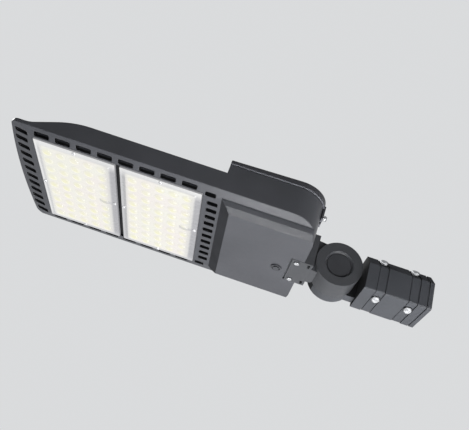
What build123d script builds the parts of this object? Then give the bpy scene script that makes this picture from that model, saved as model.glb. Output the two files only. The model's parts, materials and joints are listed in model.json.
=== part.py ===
from build123d import *
from math import cos, radians, sin, sqrt, tan
import os

# LED street light on a tilting slip fitter, in millimetres.
# X runs from the light head, at negative X, towards the pole. Z is up.
# The origin is the centre of the tenon socket's mouth, and the tilt axis is parallel to Y.

# Fits
running_clearance = 0.05
thread_clearance = 0.05
hole_clearance = 0.3
moving_gap = 0.3
seat_gap = 0.5
cut_margin = 1.0

# Slip fitter and its tenon socket
tenon_diameter = 60.3
tenon_clearance = 1.1
socket_depth = 114.0
fitter_end_wall = 7.0
fitter_side_wall = 14.25
fitter_floor_wall = 4.75
fitter_roof_wall = 10.75
roof_facet = 26.0
lower_corner_radius = 4.0
band_depth = 0.8
band_width = 18.0
band_groove_width = 1.8
fitter_groove_depth = 2.0
mouth_groove_width = 2.5
mouth_groove_inset = 7.5
fitter_neck_drop = 29.0
fitter_neck_rise = 20.0
set_screw_inset = 29.0
set_screw_mouth_inset = 33.0
set_screw_diameter = 8.0
set_screw_head_width = 14.0
set_screw_head_height = 6.0
set_screw_setback = 0.4
low_screw_lean = 27.0
low_seat_wall = 7.4
low_seat_radius = 9.5
low_seat_reach = 16.0

# Knuckle between the arm and the slip fitter
knuckle_radius = 43.0
knuckle_gap = 6.0
knuckle_near_face = 33.0
knuckle_far_face = 40.0
knuckle_split = 18.0
tooth_count = 36
tooth_width = 3.0
tooth_depth = 1.2
tooth_ring_inner = 30.0
tooth_ring_outer = 41.0
pivot_diameter = 12.0
pivot_head_width = 19.0
pivot_head_height = 8.0
pivot_nut_height = 8.0
washer_radius = 12.0
washer_thickness = 2.0
nut_recess_radius = 14.0
nut_recess_depth = 11.0
cap_radius = 22.5
cap_mouth_radius = 26.0
cap_mouth_depth = 3.5
cap_wall = 2.5
cap_edge_radius = 1.25
cap_setback = 3.0

# Arm: flange on the end wall, foot under the box, neck to the knuckle
flange_gap = 2.5
flange_thickness = 16.5
flange_half_width = 42.0
flange_top = 38.0
foot_reach = 21.5
foot_thickness = 5.0
foot_proud = 0.5
foot_front_gap = 2.5
foot_screw_inset = 9.5
foot_screw_diameter = 6.0
foot_screw_grip = 8.0
foot_screw_head_width = 9.6
foot_screw_head_height = 2.6
foot_slot_length = 12.0
foot_slot_width = 4.5
foot_slot_corner = 1.5
foot_slot_depth = 6.0
foot_slot_inset = 6.5
neck_root_half_width = 25.0
neck_tip_half_width = 17.0
neck_relief = 1.0
arm_bolt_diameter = 8.0
arm_bolt_head_width = 13.0
arm_bolt_head_height = 5.5
arm_bolt_grip = 12.0
arm_bolt_spacing = 56.0
arm_bolt_height = 22.0
wire_way_radius = 8.0
wire_way_depth = 30.0
wire_way_height = 6.0

# LED modules
module_length = 148.0
module_width = 250.0
module_gap = 8.5
led_columns = 5
led_rows = 9
led_pitch = 25.0
led_size = 3.5
led_height = 0.8
board_thickness = 1.6
board_margin = 11.0
gasket_margin = 1.0
gasket_band = 8.0
gasket_thickness = 1.2
lens_thickness = 4.8
lens_pocket_depth = 2.0
lens_panel_height = 2.0
lens_panel_taper = 3.0
lens_base_radius = 9.0
lens_tip_radius = 5.5
lens_height = 2.5
lens_sides = 12
lens_screw_diameter = 4.0
lens_screw_head_radius = 3.5
lens_screw_head_height = 2.0
lens_screw_grip = 4.0

# Heat sinks
sink_plate = 3.0
sink_flange = 3.0
sink_overlap = 3.0
fin_pitch = 11.4
fin_thickness = 2.2
fin_setback = 3.0
fin_edge = 8.0
fin_end_gap = 5.0
ear_width = 10.0
ear_reach = 11.0
ear_screw_inset = 4.0
ear_screw_diameter = 4.0
ear_screw_head_radius = 3.8
ear_screw_head_height = 2.4
ear_screw_grip = 3.5

# Housing
wall = 4.0
head_drop = 9.0
strip_thickness = 6.0
wall_height = 38.5
side_strip = 25.0
front_strip = 48.5
rear_strip = 28.5
front_bow = 10.0
front_corner_radius = 14.0
front_bevel_setback = 4.0
front_bevel_rise = 7.0
nose_length = 40.5
nose_rise = 4.5
nose_skin = 2.5
nose_cover_length = 84.5
nose_ramp_angle = 22.3
ramp_head_radius = 150.0
ramp_foot_radius = 40.0
bar_recess = 3.5
bevel_width = 23.0
bevel_rise = 3.5
side_vent_count = 8
side_vent_length = 27.0
side_vent_width = 12.0
side_vent_inset = 15.5
side_row_front = 64.0
side_row_rear = 53.0
end_vent_count = 10
rear_vent_pitch = 22.7
rear_vent_length = 19.0
end_vent_width = 12.0
front_vent_inset = 22.0
front_vent_length = 23.5
front_vent_pitch = 23.3
rear_vent_inset = 9.5
corner_vent_inset = 22.5
rear_corner_shift = 5.5
front_corner_shift = 3.5
vent_corner_radius = 3.0

# Driver box
box_length = 174.0
box_height = 57.5
rear_corner_radius = 50.0
plateau_depth = 17.0
plateau_front_inset = 5.0
plateau_front_run = 19.0
plateau_side_run = 12.0
plateau_wall_run = 2.5
plateau_wall_drop = 7.5
groove_width = 2.5
groove_depth = 2.0
foot_pad_height = 14.0
foot_pad_margin = 4.0

# Lid, its hinge and its screws
lid_height = 9.0
lid_rise = 5.5
lid_overhang = 2.5
lid_top_thickness = 3.5
lid_edge_radius = 4.0
lid_seam = 0.9
lid_gasket_width = 3.0
lid_gasket_thickness = 0.8
lip_tab_width = 28.0
lip_thickness = 3.5
lip_bottom = 27.0
hinge_spacing = 180.0
hinge_reach = 7.0
hinge_rise = 1.5
hinge_radius = 6.5
hinge_web = 20.0
hinge_lug_width = 12.0
hinge_ear_width = 6.0
hinge_side_gap = 0.4
hinge_pin_diameter = 5.0
lid_screw_spacing = 196.0
lid_screw_height = 38.0
lid_screw_diameter = 5.0
lid_screw_head_radius = 5.0
lid_screw_head_height = 5.0
lid_screw_float = 2.3
lid_screw_grip = 10.0
lid_boss_radius = 6.0

# Gear inside the box
tray_pad_gap = 2.5
tray_side_gap = 8.0
tray_thickness = 1.5
tray_flange = 8.0
tray_inset = 1.0
tray_post_height = 6.0
tray_post_radius = 4.5
tray_post_inset = 7.0
tray_screw_diameter = 4.0
tray_screw_head_radius = 3.8
tray_screw_head_height = 2.4
tray_screw_grip = 5.0
driver_height = 38.0
driver_inset = 3.0
driver_side_gap = 6.2
driver_cap = 6.0
driver_rib_count = 6
driver_rib_height = 1.5
driver_rib_width = 4.0
driver_corner = 3.0
terminal_length = 60.0
terminal_width = 24.0
terminal_height = 20.0
terminal_ways = 5
terminal_edge_gap = 35.0
terminal_screw_radius = 3.0
terminal_screw_height = 4.0
terminal_port_radius = 2.8
terminal_port_height = 5.6
terminal_port_depth = 6.0
surge_length = 60.0
surge_width = 36.0
surge_height = 25.0
surge_corner = 4.0
surge_edge_gap = 25.0
gear_gap = 10.0
gear_end_gap = 5.5

# Plugs and bushes
breather_inset = 43.0
breather_offset_y = 6.0
breather_radius = 10.0
breather_height = 2.5
breather_core_radius = 5.5
breather_core_height = 1.0
breather_ring_radius = 8.0
breather_thread_radius = 6.0
breather_stem = 4.0
grommet_body_radius = 6.0
grommet_flange_radius = 9.0
grommet_flange_height = 2.5
grommet_hole_radius = 3.0
grommet_height = 24.0
gland_body_radius = 9.0
gland_nut_width = 24.0
gland_nut_height = 6.0
gland_dome_radius = 10.0
gland_dome_height = 12.0
gland_dome_fillet = 4.0

# Slip fitter places
bore_radius = tenon_diameter / 2 + tenon_clearance
fitter_half_width = bore_radius + fitter_side_wall
fitter_floor_z = -(bore_radius + fitter_floor_wall)
fitter_roof_z = bore_radius + fitter_roof_wall
fitter_back_x = -(socket_depth + fitter_end_wall)
set_screw_places = [fitter_back_x + set_screw_inset, -set_screw_mouth_inset]
facet_distance = (fitter_half_width + fitter_roof_z - roof_facet) / sqrt(2)
low_screw_direction = (0, -sin(radians(low_screw_lean)), -cos(radians(low_screw_lean)))
low_seat_distance = bore_radius + low_seat_wall
set_screw_seats = [
    (low_screw_direction, low_seat_distance),
    ((0, -sqrt(0.5), sqrt(0.5)), facet_distance - band_depth),
    ((0, sqrt(0.5), sqrt(0.5)), facet_distance - band_depth),
]

# Knuckle and arm places
pivot_x = fitter_back_x - knuckle_gap - knuckle_radius
pivot_radius = pivot_diameter / 2
arm_inner_y = knuckle_split - moving_gap / 2
fitter_inner_y = knuckle_split + moving_gap / 2
cap_inner_height = washer_thickness + pivot_head_height + seat_gap
cap_floor_y = -knuckle_near_face + cap_setback + cap_wall + cap_inner_height
nut_floor_y = knuckle_far_face - nut_recess_depth
nut_seat_y = nut_floor_y + moving_gap + washer_thickness
flange_back_x = pivot_x - knuckle_radius - flange_gap
rear_x = flange_back_x - flange_thickness

# Housing places
box_front_x = rear_x - box_length
rear_module_end_x = box_front_x - rear_strip
front_module_end_x = rear_module_end_x - module_length - module_gap
module_ends = {"rear": rear_module_end_x, "front": front_module_end_x}
front_x = front_module_end_x - module_length - front_strip
nose_back_x = front_x + nose_length
fin_ends = {
    "rear": box_front_x - fin_end_gap,
    "front": front_module_end_x + module_gap - 2 * seat_gap,
}
half_width = module_width / 2 + side_strip
strip_bottom = -head_drop
strip_top = strip_bottom + strip_thickness
wall_top = strip_bottom + wall_height
nose_top = strip_top + nose_rise
box_rim = strip_bottom + box_height
tub_step = strip_bottom + bevel_rise + wall
bevel_inner_y = half_width - bevel_width
plateau_z = strip_bottom - plateau_depth
plateau_front_x = box_front_x + plateau_front_inset
tub_floor = plateau_z + wall
foot_bottom = plateau_z - foot_proud
foot_top = foot_bottom + foot_thickness
foot_front_x = rear_x - foot_reach
foot_screw_x = foot_front_x + foot_screw_inset
foot_screw_y = flange_half_width - foot_screw_inset
foot_pad_top = foot_top + foot_pad_height
side_vent_y = half_width - side_vent_inset
front_vent_x = front_x + front_vent_inset
rear_vent_x = box_front_x - rear_vent_inset
side_row_start = front_x + side_row_front
side_vent_pitch = (box_front_x - side_row_rear - side_row_start) / (side_vent_count - 1)
side_vent_places = [side_row_start + side_vent_pitch * i for i in range(side_vent_count)]
corner_vent_y = half_width - corner_vent_inset
web_places = [x + side_vent_pitch / 2 for x in side_vent_places[:-1]]

# Module layers, from the heat sink down to the lens
sink_bottom = strip_top - sink_plate
sink_top = strip_top + sink_flange
board_bottom = sink_bottom - board_thickness
gasket_bottom = sink_bottom - gasket_thickness
lens_face = gasket_bottom - lens_thickness
lens_screw_edge = gasket_margin + gasket_band / 2

# Lid and hinge places
lid_bottom = box_rim + lid_seam
lid_top = box_rim + lid_height
hinge_x = box_front_x - hinge_reach
hinge_z = box_rim + hinge_rise
lip_inner_x = rear_x + moving_gap
lip_outer_x = lip_inner_x + lip_thickness
lid_screw_seat_x = lip_outer_x + lid_screw_float

# Gear places
tray_front_x = plateau_front_x + wall + plateau_front_run + tray_inset
tray_end_x = foot_front_x - foot_pad_margin - tray_pad_gap
tray_half_width = bevel_inner_y - wall - plateau_side_run - tray_side_gap
tray_bottom = tub_floor + tray_post_height
tray_top = tray_bottom + tray_thickness
tray_posts = [
    (x, side * (tray_half_width - tray_post_inset))
    for x in (tray_front_x + tray_post_inset, tray_end_x - tray_post_inset)
    for side in (-1, 1)
]
gear_centre_x = tray_end_x - gear_end_gap - surge_width / 2
terminal_y = -(tray_half_width - terminal_edge_gap - terminal_length / 2)
surge_y = tray_half_width - surge_edge_gap - surge_length / 2
driver_front_x = tray_front_x + driver_inset
driver_width = gear_centre_x - surge_width / 2 - gear_gap - driver_front_x
driver_centre_x = driver_front_x + driver_width / 2
driver_end_y = tray_half_width - tray_post_inset - tray_screw_head_radius - driver_side_gap
breather_x = rear_x - breather_inset
grommet_z = strip_top + grommet_height


def block(low, high):
    """Box between two opposite corners."""
    size = [b - a for a, b in zip(low, high)]
    middle = [(a + b) / 2 for a, b in zip(low, high)]
    return Pos(*middle) * Box(*size)


def rod(radius, start, end):
    """Round bar between two points."""
    reach = Vector(*end) - Vector(*start)
    bar = Pos(0, 0, reach.length / 2) * Cylinder(radius, reach.length)
    return Plane(origin=start, z_dir=reach) * bar


def upright(outline, low, high):
    """Outline drawn in plan, raised from one height to another."""
    return extrude(Pos(0, 0, low) * outline, high - low, dir=(0, 0, 1))


def along_x(section, start, end):
    """Section drawn in the YZ plane, drawn out along X."""
    return extrude(Plane.YZ.offset(start) * section, end - start, dir=(1, 0, 0))


def across_y(section, half_depth):
    """Section drawn in the XZ plane, drawn out to both sides."""
    return extrude(Plane.XZ * section, half_depth, both=True)


def polygon(*points):
    """Closed face through the given corners."""
    return make_face(Polyline(*points, close=True))


def round_screw(head_radius, head_height, shank_radius, shank_length):
    """Pan-head screw seated at z = 0, with its shank pointing down."""
    head = Pos(0, 0, head_height / 2) * Cylinder(head_radius, head_height)
    rim = head.edges().group_by(Axis.Z)[-1]
    head = chamfer(rim, head_height / 3)
    return head + Pos(0, 0, -shank_length / 2) * Cylinder(shank_radius, shank_length)


def hex_screw(head_width, head_height, shank_radius, shank_length):
    """Hexagon-head screw seated at z = 0, with its shank pointing down."""
    head = extrude(RegularPolygon(head_width / 2, 6, major_radius=False), head_height)
    return head + Pos(0, 0, -shank_length / 2) * Cylinder(shank_radius, shank_length)


def place(piece, point, direction):
    """Stand a piece at a point with its own z axis along a direction."""
    return Plane(origin=point, z_dir=direction) * piece


def plan_outline(inset):
    """Head seen from above: bowed front edge, straight sides, rounded rear corners."""
    side = half_width - inset
    tip = front_x + inset
    shoulder = tip + front_bow
    tail = rear_x - inset
    front = ThreePointArc((shoulder, side), (tip, 0), (shoulder, -side))
    rest = Polyline((shoulder, -side), (tail, -side), (tail, side), (shoulder, side))
    face = make_face(front + rest)
    face = fillet(face.vertices().sort_by(Axis.X)[-2:], rear_corner_radius - inset)
    return fillet(face.vertices().sort_by(Axis.X)[:2], front_corner_radius - inset)


def side_profile(drop):
    """Head seen from the side: thin nose, ramp, level fin section and raised driver box."""
    ramp_head_x = nose_back_x + (wall_top - nose_top) / tan(radians(nose_ramp_angle))
    face = polygon(
        (front_x, nose_top), (front_x, strip_bottom), (rear_x, strip_bottom), (rear_x, box_rim),
        (box_front_x, box_rim), (box_front_x, wall_top), (ramp_head_x, wall_top), (nose_back_x, nose_top),
    )
    face = fillet(face.vertices().sort_by_distance((ramp_head_x, wall_top, 0))[0], ramp_head_radius)
    face = fillet(face.vertices().sort_by_distance((nose_back_x, nose_top, 0))[0], ramp_foot_radius)
    return Pos(0, 0, -drop) * across_y(face, half_width + cut_margin)


def plateau(inset, top):
    """Deeper floor of the driver box, sloped at its front, with steep sides and broad chamfers."""
    floor = plateau_z + inset
    front_top = plateau_front_x + inset
    front_low = front_top + plateau_front_run
    side_top = bevel_inner_y - inset
    side_knee = side_top - plateau_wall_run
    knee = strip_bottom - plateau_wall_drop + inset / 2
    side_low = side_top - plateau_side_run
    tail = rear_x - inset
    lengthwise = polygon(
        (front_top, top), (front_top, strip_bottom), (front_low, floor), (tail, floor), (tail, top)
    )
    crosswise = polygon(
        (-side_top, top), (-side_top, strip_bottom), (-side_knee, knee), (-side_low, floor),
        (side_low, floor), (side_knee, knee), (side_top, strip_bottom), (side_top, top),
    )
    body = across_y(lengthwise, half_width) & along_x(crosswise, box_front_x, rear_x)
    return body & upright(plan_outline(inset), floor, top)


def end_vents(x, length, pitch, shift):
    """Slots of one end strip in plan, with a slot drawn in at each corner."""
    slot = RectangleRounded(length, end_vent_width, vent_corner_radius)
    slots = Sketch()
    for i in range(end_vent_count):
        slots += Pos(x, (i - (end_vent_count - 1) / 2) * pitch) * slot
    for side in (-1, 1):
        slots += Pos(x + shift, side * corner_vent_y) * slot
    return slots


def vent_slots():
    """Slots in the four strips around the LED modules, closed above in the nose."""
    low = strip_bottom - cut_margin
    slots = end_vents(rear_vent_x, rear_vent_length, rear_vent_pitch, -rear_corner_shift)
    for x in side_vent_places:
        for side in (-1, 1):
            slot = RectangleRounded(side_vent_length, side_vent_width, vent_corner_radius)
            slots += Pos(x, side * side_vent_y) * slot
    nose_slots = end_vents(front_vent_x, front_vent_length, front_vent_pitch, front_corner_shift)
    return [
        upright(slots, low, strip_top + cut_margin),
        upright(nose_slots, low, nose_top - nose_skin),
    ]


def bevel_cutters():
    """Wedges that slope the underside up towards the side walls and towards the front edge."""
    reach = bevel_width + cut_margin
    rise = bevel_rise * reach / bevel_width
    outer = half_width + cut_margin
    low = strip_bottom - cut_margin
    wedge = polygon(
        (bevel_inner_y, strip_bottom), (bevel_inner_y, low),
        (outer, low), (outer, strip_bottom + rise),
    )
    cutter = along_x(wedge, front_x - cut_margin, rear_x + cut_margin)
    nose_start = front_x + front_strip - front_bevel_setback
    nose_run = front_strip - front_bevel_setback
    nose_reach = nose_run + cut_margin
    nose_wedge = polygon(
        (nose_start, strip_bottom), (nose_start, low), (nose_start - nose_reach, low),
        (nose_start - nose_reach, strip_bottom + front_bevel_rise * nose_reach / nose_run),
    )
    return [cutter, mirror(cutter, about=Plane.XZ), across_y(nose_wedge, half_width + cut_margin)]


def box_grooves():
    """Narrow grooves between the side bevels and the chamfers of the driver box floor."""
    grooves = []
    for side in (-1, 1):
        y = side * (bevel_inner_y + groove_width / 2)
        low = (plateau_front_x, y - groove_width / 2, strip_bottom - cut_margin)
        high = (rear_x + cut_margin, y + groove_width / 2, strip_bottom + groove_depth)
        grooves.append(block(low, high))
    return grooves


def hinge_lugs():
    """Lugs on the front wall of the driver box that carry the lid's hinge pins."""
    nose = hinge_x - hinge_radius
    section = polygon(
        (nose, hinge_z), (nose, hinge_z - hinge_radius), (box_front_x, hinge_z - hinge_web),
        (box_front_x + wall / 2, hinge_z - hinge_web), (box_front_x + wall / 2, box_rim),
        (hinge_x + hinge_radius, box_rim), (hinge_x, hinge_z),
    )
    web = across_y(section, hinge_lug_width / 2)
    half = hinge_lug_width / 2
    ring = rod(hinge_radius, (hinge_x, -half, hinge_z), (hinge_x, half, hinge_z))
    lug = web + ring - hinge_bore(hinge_lug_width)
    return [Pos(0, side * hinge_spacing / 2, 0) * lug for side in (-1, 1)]


def hinge_bore(width):
    """Hole of a lid hinge pin, longer than the piece it goes through."""
    half = width / 2 + cut_margin
    radius = hinge_pin_diameter / 2 + running_clearance
    return rod(radius, (hinge_x, -half, hinge_z), (hinge_x, half, hinge_z))


def arm_bolt_points():
    """Places of the two bolts that clamp the arm's flange from inside the box."""
    return [(rear_x - wall, side * arm_bolt_spacing / 2, arm_bolt_height) for side in (-1, 1)]


def housing_bosses():
    """Posts, pads and screw bosses inside the driver box."""
    bosses = []
    for x, y in tray_posts:
        bosses.append(rod(tray_post_radius, (x, y, tub_floor - wall / 2), (x, y, tray_bottom)))
    pad_half = flange_half_width + foot_pad_margin
    pad_low = (foot_front_x - foot_pad_margin, -pad_half, tub_floor - wall / 2)
    bosses.append(block(pad_low, (rear_x - wall / 2, pad_half, foot_pad_top)))
    for side in (-1, 1):
        y = side * lid_screw_spacing / 2
        inner = (rear_x - lid_screw_grip - wall, y, lid_screw_height)
        bosses.append(rod(lid_boss_radius, inner, (rear_x - wall / 2, y, lid_screw_height)))
    return bosses


def housing_holes():
    """Screw holes and openings of the housing."""
    holes = []
    low = plateau_z - cut_margin
    foot_half = flange_half_width + seat_gap
    recess_low = (foot_front_x - foot_front_gap, -foot_half, low)
    holes.append(block(recess_low, (rear_x + cut_margin, foot_half, foot_top)))
    foot_radius = foot_screw_diameter / 2 + thread_clearance
    foot_end = foot_top + foot_screw_grip + cut_margin
    for side in (-1, 1):
        y = side * foot_screw_y
        holes.append(rod(foot_radius, (foot_screw_x, y, low), (foot_screw_x, y, foot_end)))
    tray_radius = tray_screw_diameter / 2 + thread_clearance
    tray_end = tray_bottom - tray_screw_grip
    for x, y in tray_posts:
        holes.append(rod(tray_radius, (x, y, tray_end), (x, y, tray_bottom + cut_margin)))
    lid_radius = lid_screw_diameter / 2 + thread_clearance
    for side in (-1, 1):
        y = side * lid_screw_spacing / 2
        inner = (rear_x - lid_screw_grip - cut_margin, y, lid_screw_height)
        holes.append(rod(lid_radius, inner, (rear_x + cut_margin, y, lid_screw_height)))
    bolt_radius = arm_bolt_diameter / 2 + hole_clearance
    for x, y, z in arm_bolt_points():
        holes.append(rod(bolt_radius, (x - cut_margin, y, z), (rear_x + cut_margin, y, z)))
    ear_radius = ear_screw_diameter / 2 + thread_clearance
    ear_end = strip_top - ear_screw_grip - thread_clearance
    for x, y in ear_points("front") + ear_points("rear"):
        holes.append(rod(ear_radius, (x, y, ear_end), (x, y, strip_top + cut_margin)))
    breather = breather_thread_radius + thread_clearance
    breather_low = (breather_x, breather_offset_y, low)
    breather_high = (breather_x, breather_offset_y, tub_floor + cut_margin)
    holes.append(rod(breather, breather_low, breather_high))
    grommet = grommet_body_radius + thread_clearance
    grommet_start = (box_front_x - cut_margin, 0, grommet_z)
    holes.append(rod(grommet, grommet_start, (box_front_x + wall + cut_margin, 0, grommet_z)))
    gland = gland_body_radius + thread_clearance
    gland_start = (rear_x - wall - cut_margin, 0, wire_way_height)
    holes.append(rod(gland, gland_start, (rear_x + cut_margin, 0, wire_way_height)))
    return holes


def module_openings():
    """Rectangular openings in which the two LED modules sit, and the recess of the bar between them."""
    openings = []
    half = module_width / 2 + seat_gap
    for end in module_ends.values():
        low = (end - module_length - seat_gap, -half, strip_bottom - cut_margin)
        openings.append(block(low, (end + seat_gap, half, strip_top + cut_margin)))
    bar_low = (front_module_end_x, -half, strip_bottom - cut_margin)
    openings.append(block(bar_low, (front_module_end_x + module_gap, half, strip_bottom + bar_recess)))
    return openings


def nose_cover():
    """Closed skin that follows the ramp over the first side vents."""
    end = (front_x + nose_cover_length, half_width, box_rim)
    front = block((front_x, -half_width, strip_bottom), end)
    return front - side_profile(nose_skin)


def housing():
    """One casting: side walls, vent strips, cross bar and driver tub."""
    body = upright(plan_outline(0), strip_bottom, box_rim) & side_profile(0)
    body += plateau(0, strip_bottom + wall)
    inner = plan_outline(wall)
    fin_space = block((nose_back_x, -half_width, strip_top), (box_front_x, half_width, box_rim))
    body -= (upright(inner, strip_top, box_rim) & fin_space) - nose_cover()
    tub_top = box_rim + cut_margin
    tub_space = block((box_front_x + wall, -half_width, tub_step), (rear_x, half_width, tub_top))
    body -= upright(inner, tub_step, tub_top) & tub_space
    body -= plateau(wall, tub_step + cut_margin)
    body -= bevel_cutters()
    body -= box_grooves()
    body -= module_openings()
    body -= vent_slots()
    body += housing_bosses()
    body += hinge_lugs()
    return body - housing_holes()


def ear_points(which):
    """Screw places of a heat sink's ears, on the webs between the side vents."""
    end = module_ends[which]
    webs = [x for x in web_places if end - module_length + ear_width < x < end - ear_width]
    y = module_width / 2 + ear_reach - ear_screw_inset
    return [(x, side * y) for x in (webs[0], webs[-1]) for side in (-1, 1)]


def lens_screw_points(which):
    """Screw places at the middle of a lens plate's four sides."""
    end = module_ends[which]
    centre = end - module_length / 2
    side = module_width / 2 - lens_screw_edge
    return [
        (centre, -side),
        (centre, side),
        (end - lens_screw_edge, 0),
        (end - module_length + lens_screw_edge, 0),
    ]


def led_points(which):
    """Centres of the emitters and of the lenses over them."""
    centre = module_ends[which] - module_length / 2
    return [
        (centre + (i - (led_columns - 1) / 2) * led_pitch, (j - (led_rows - 1) / 2) * led_pitch)
        for i in range(led_columns)
        for j in range(led_rows)
    ]


def module_slab(which, margin, low, high):
    """Flat slab over a module, drawn in from the module's edge by a margin."""
    end = module_ends[which]
    half = module_width / 2 - margin
    return block((end - module_length + margin, -half, low), (end - margin, half, high))


def heat_sink(which):
    """Plate that fills the opening, with a flange on the strips, ears and lengthwise fins."""
    end = module_ends[which]
    body = module_slab(which, 0, sink_bottom, strip_top)
    body += module_slab(which, -sink_overlap, strip_top, sink_top)
    for x, y in ear_points(which):
        inner = module_width / 2
        outer = inner + ear_reach
        near, far = (inner, outer) if y > 0 else (-outer, -inner)
        body += block((x - ear_width / 2, near, strip_top), (x + ear_width / 2, far, sink_top))
    count = int((module_width / 2 - fin_edge) / fin_pitch)
    fins = []
    for i in range(-count, count + 1):
        low = (end - module_length, i * fin_pitch - fin_thickness / 2, sink_top)
        fins.append(block(low, (fin_ends[which], i * fin_pitch + fin_thickness / 2, wall_top)))
    skyline = side_profile(fin_setback)
    body += [fin & skyline for fin in fins]
    radius = ear_screw_diameter / 2 + hole_clearance
    for x, y in ear_points(which):
        body -= rod(radius, (x, y, strip_top - cut_margin), (x, y, sink_top + cut_margin))
    radius = lens_screw_diameter / 2 + thread_clearance
    hole_end = sink_bottom + lens_screw_grip + thread_clearance
    for x, y in lens_screw_points(which):
        body -= rod(radius, (x, y, sink_bottom - cut_margin), (x, y, hole_end))
    return body


def heat_sink_screws():
    screw = round_screw(
        ear_screw_head_radius, ear_screw_head_height, ear_screw_diameter / 2, sink_flange + ear_screw_grip
    )
    points = ear_points("front") + ear_points("rear")
    return [Pos(x, y, sink_top) * screw for x, y in points]


def led_board(which):
    return module_slab(which, board_margin, board_bottom, sink_bottom)


def led_chips(which):
    chip = Box(led_size, led_size, led_height)
    return [Pos(x, y, board_bottom - led_height / 2) * chip for x, y in led_points(which)]


def lens_gasket(which):
    ring = module_slab(which, gasket_margin, gasket_bottom, sink_bottom)
    inner = gasket_margin + gasket_band
    ring -= module_slab(which, inner, gasket_bottom - cut_margin, sink_bottom + cut_margin)
    radius = lens_screw_diameter / 2 + hole_clearance
    for x, y in lens_screw_points(which):
        ring -= rod(radius, (x, y, gasket_bottom - cut_margin), (x, y, sink_bottom + cut_margin))
    return ring


def lens(which):
    """Optic plate: hollow behind, with a raised panel that carries one lens per emitter."""
    inner = gasket_margin + gasket_band
    body = module_slab(which, 0, lens_face, gasket_bottom)
    centre = module_ends[which] - module_length / 2
    panel_face = lens_face - lens_panel_height
    base = Pos(centre, 0, lens_face) * Rectangle(module_length - 2 * inner, module_width - 2 * inner)
    drawn_in = 2 * (inner + lens_panel_taper)
    tip = Pos(centre, 0, panel_face) * Rectangle(module_length - drawn_in, module_width - drawn_in)
    body += loft([base, tip])
    body -= module_slab(which, inner, gasket_bottom - lens_pocket_depth, gasket_bottom + cut_margin)
    foot = Pos(0, 0, panel_face) * RegularPolygon(lens_base_radius, lens_sides)
    crown = Pos(0, 0, panel_face - lens_height) * RegularPolygon(lens_tip_radius, lens_sides)
    dome = loft([foot, crown])
    body += [Pos(x, y, 0) * dome for x, y in led_points(which)]
    radius = lens_screw_diameter / 2 + hole_clearance
    for x, y in lens_screw_points(which):
        body -= rod(radius, (x, y, lens_face - cut_margin), (x, y, gasket_bottom + cut_margin))
    return body


def lens_screws():
    length = sink_bottom + lens_screw_grip - lens_face
    screw = round_screw(lens_screw_head_radius, lens_screw_head_height, lens_screw_diameter / 2, length)
    points = lens_screw_points("front") + lens_screw_points("rear")
    return [place(screw, (x, y, lens_face), (0, 0, -1)) for x, y in points]


def lid_slots():
    """Open slots in the lip, through which the lid lifts off its loosened screws."""
    slots = []
    half = lid_screw_diameter / 2 + hole_clearance
    for side in (-1, 1):
        y = side * lid_screw_spacing / 2
        start = (lip_inner_x - cut_margin, y, lid_screw_height)
        end = (lip_outer_x + cut_margin, y, lid_screw_height)
        slots.append(rod(half, start, end))
        low = (lip_inner_x - cut_margin, y - half, lip_bottom - cut_margin)
        slots.append(block(low, (lip_outer_x + cut_margin, y + half, lid_screw_height)))
    return slots


def lid_tabs():
    """Two tabs of the lid that hang down the end wall, one for each lid screw."""
    tabs = []
    shoulder = lid_top - lid_edge_radius
    half = lip_tab_width / 2
    for side in (-1, 1):
        y = side * lid_screw_spacing / 2
        root = block((rear_x - wall / 2, y - half, lid_bottom), (lip_outer_x, y + half, shoulder))
        tab = block((lip_inner_x, y - half, lip_bottom), (lip_outer_x, y + half, shoulder))
        tabs.append(root + tab)
    return tabs


def lid_ears():
    """Pairs of ears on the lid's front edge, one at each side of a hinge lug."""
    ears = []
    offset = hinge_lug_width / 2 + hinge_side_gap + hinge_ear_width / 2
    half = hinge_ear_width / 2
    ring = rod(hinge_radius, (hinge_x, -half, hinge_z), (hinge_x, half, hinge_z))
    bridge = block((hinge_x, -half, lid_bottom), (box_front_x + wall / 2, half, hinge_z + hinge_radius))
    ear = ring + bridge - hinge_bore(hinge_ear_width)
    for side in (-1, 1):
        for step in (-1, 1):
            ears.append(Pos(0, side * hinge_spacing / 2 + step * offset, 0) * ear)
    return ears


def lid_profile(start, low, drop):
    """Lid seen from the side, with its top rising towards the rear."""
    end = rear_x + lid_overhang + cut_margin
    slope = lid_rise / (rear_x - box_front_x)
    heights = [lid_top - drop + slope * (x - box_front_x) for x in (start, end)]
    face = polygon((start, low), (end, low), (end, heights[1]), (start, heights[0]))
    return across_y(face, half_width + lid_overhang + cut_margin)


def driver_lid():
    """Hollow top cover that overhangs the box, with two screw tabs at its rear edge."""
    ceiling = lid_top + lid_rise + cut_margin
    body = upright(plan_outline(-lid_overhang), lid_bottom, ceiling)
    body &= lid_profile(box_front_x, lid_bottom, 0)
    body = fillet(body.faces().sort_by(Axis.Z)[-1].edges(), lid_edge_radius)
    below = lid_bottom - cut_margin
    inside = upright(plan_outline(wall), below, ceiling)
    body -= inside & lid_profile(box_front_x + wall, below, lid_top_thickness)
    body += lid_tabs()
    body -= lid_slots()
    return body + lid_ears()


def lid_gasket():
    """Seal on the rim of the driver box."""
    edge = (wall - lid_gasket_width) / 2
    top = box_rim + lid_gasket_thickness
    ring_low = (box_front_x + edge, -half_width, box_rim)
    ring = upright(plan_outline(edge), box_rim, top) & block(ring_low, (rear_x, half_width, top))
    inner = wall - edge
    hole = upright(plan_outline(inner), box_rim - cut_margin, top + cut_margin)
    hole_low = (box_front_x + inner, -half_width, box_rim - cut_margin)
    return ring - (hole & block(hole_low, (rear_x, half_width, top + cut_margin)))


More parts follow.
